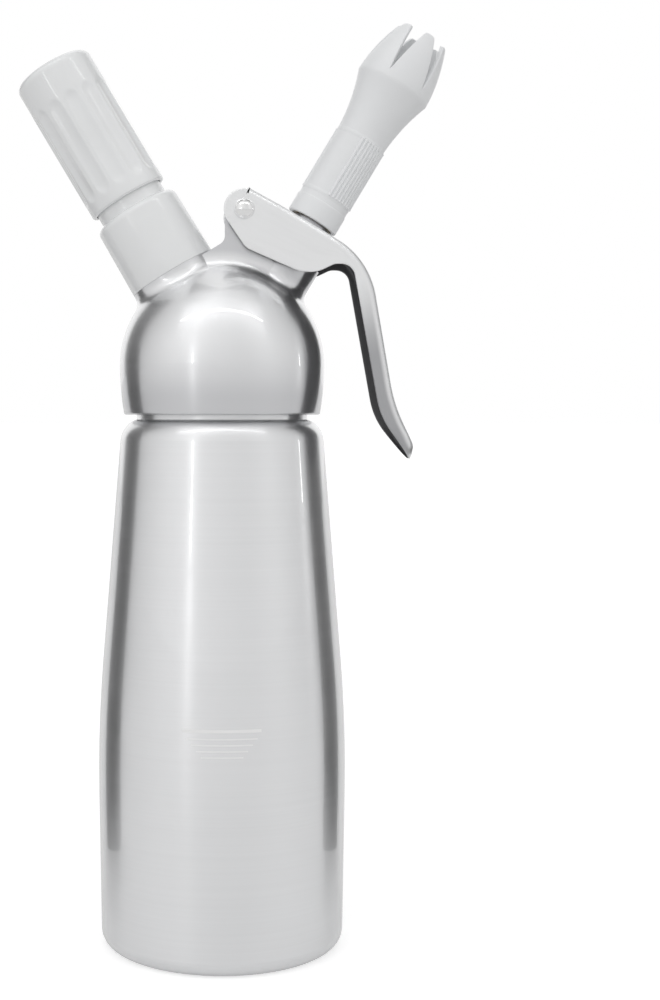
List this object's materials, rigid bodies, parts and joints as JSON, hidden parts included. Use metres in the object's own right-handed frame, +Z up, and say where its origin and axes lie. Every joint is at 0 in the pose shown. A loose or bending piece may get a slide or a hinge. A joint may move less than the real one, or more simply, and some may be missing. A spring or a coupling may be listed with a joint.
{
  "type": "whipped cream dispenser",
  "caption": "Upright aluminium bottle with a domed screw-on head, a lever-worked valve with a petalled decorating tip, and a gas charger in a fluted holder.",
  "frame": {"origin": "centre of the bottle's base, on the plane that it stands on", "axes": "+Z up the bottle's axis, +X towards the lever and the decorating tip, -X towards the gas charger"},
  "size_m": [0.1397, 0.0804, 0.3],
  "materials": {
    "bottle_aluminium": "fine brushed rings under clear gloss lacquer",
    "head_aluminium": "satin polished casting under clear gloss lacquer",
    "lever_steel": "pressed stainless sheet, fine brushed along its length",
    "rivet_steel": "polished",
    "turned_steel": "turned",
    "spring_steel": "drawn wire",
    "charger_steel": "zinc plated",
    "turned_brass": "turned",
    "white_plastic": "glossy moulded",
    "tip_plastic": "satin moulded",
    "bush_plastic": "moulded",
    "seal_rubber": "moulded food silicone"
  },
  "bodies": {
    "bottle": {"bottle": "bottle_aluminium"},
    "head_lift": {"head_gasket": "seal_rubber"},
    "head": {"head": "head_aluminium", "pivot_bushes": "bush_plastic", "gas_port_body": "turned_brass", "piercing_pin": "turned_steel", "charger_seal": "seal_rubber", "non_return_sleeve": "seal_rubber", "charger_collar": "white_plastic", "valve_bush": "turned_brass", "valve_spring": "spring_steel"},
    "charger": {"gas_charger": "charger_steel"},
    "holder": {"charger_holder": "white_plastic", "holder_insert": "turned_brass"},
    "lever": {"lever": "lever_steel", "lever_pin": "rivet_steel"},
    "valve": {"valve_stem": "turned_steel", "poppet_seal": "seal_rubber", "poppet_nut": "turned_steel", "stem_ring": "seal_rubber", "press_collar": "turned_steel"},
    "tip_seat": {"tip_seal": "seal_rubber"},
    "tip": {"decorating_tip": "tip_plastic", "tip_insert": "turned_brass"}
  },
  "joints": [
    {"name": "head_lift", "type": "slide", "parent": "bottle", "child": "head_lift", "axis": [0, 0, 1], "range_m": [0, 0.01]},
    {"name": "head_turn", "type": "hinge", "parent": "head_lift", "child": "head", "pos_m": [0, 0, 0.18], "axis": [0, 0, 1], "range_deg": [0, 900]},
    {"name": "charger_feed", "type": "slide", "parent": "head", "child": "charger", "axis": [-0.512, 0, 0.859], "range_m": [0, 0.009]},
    {"name": "holder_turn", "type": "hinge", "parent": "charger", "child": "holder", "pos_m": [0, 0, 0.1911], "axis": [-0.512, 0, 0.859], "range_deg": [0, 2160]},
    {"name": "lever_pivot", "type": "hinge", "parent": "head", "child": "lever", "pos_m": [0.00715, 0, 0.2377], "axis": [0, 1, 0], "range_deg": [0, 6], "stiffness_Nm_per_rad": 1, "springref_deg": -11.46},
    {"name": "valve_travel", "type": "slide", "parent": "head", "child": "valve", "axis": [-0.515, 0, -0.8572], "range_m": [0, 0.0027], "stiffness_N_per_m": 300, "springref_m": -0.006, "deforming": ["valve_spring"]},
    {"name": "tip_feed", "type": "slide", "parent": "valve", "child": "tip_seat", "axis": [0.515, 0, 0.8572], "range_m": [0, 0.009]},
    {"name": "tip_turn", "type": "hinge", "parent": "tip_seat", "child": "tip", "pos_m": [0, 0, 0.186], "axis": [0.515, 0, 0.8572], "range_deg": [0, 2160]}
  ],
  "couplings": [
    {"joint": "head_turn", "follows": "head_lift", "rad_per_m": 1570.8},
    {"joint": "holder_turn", "follows": "charger_feed", "rad_per_m": 4188.8},
    {"joint": "lever_pivot", "follows": "valve_travel", "rad_per_m": 38.78},
    {"joint": "tip_turn", "follows": "tip_feed", "rad_per_m": 4188.8}
  ]
}
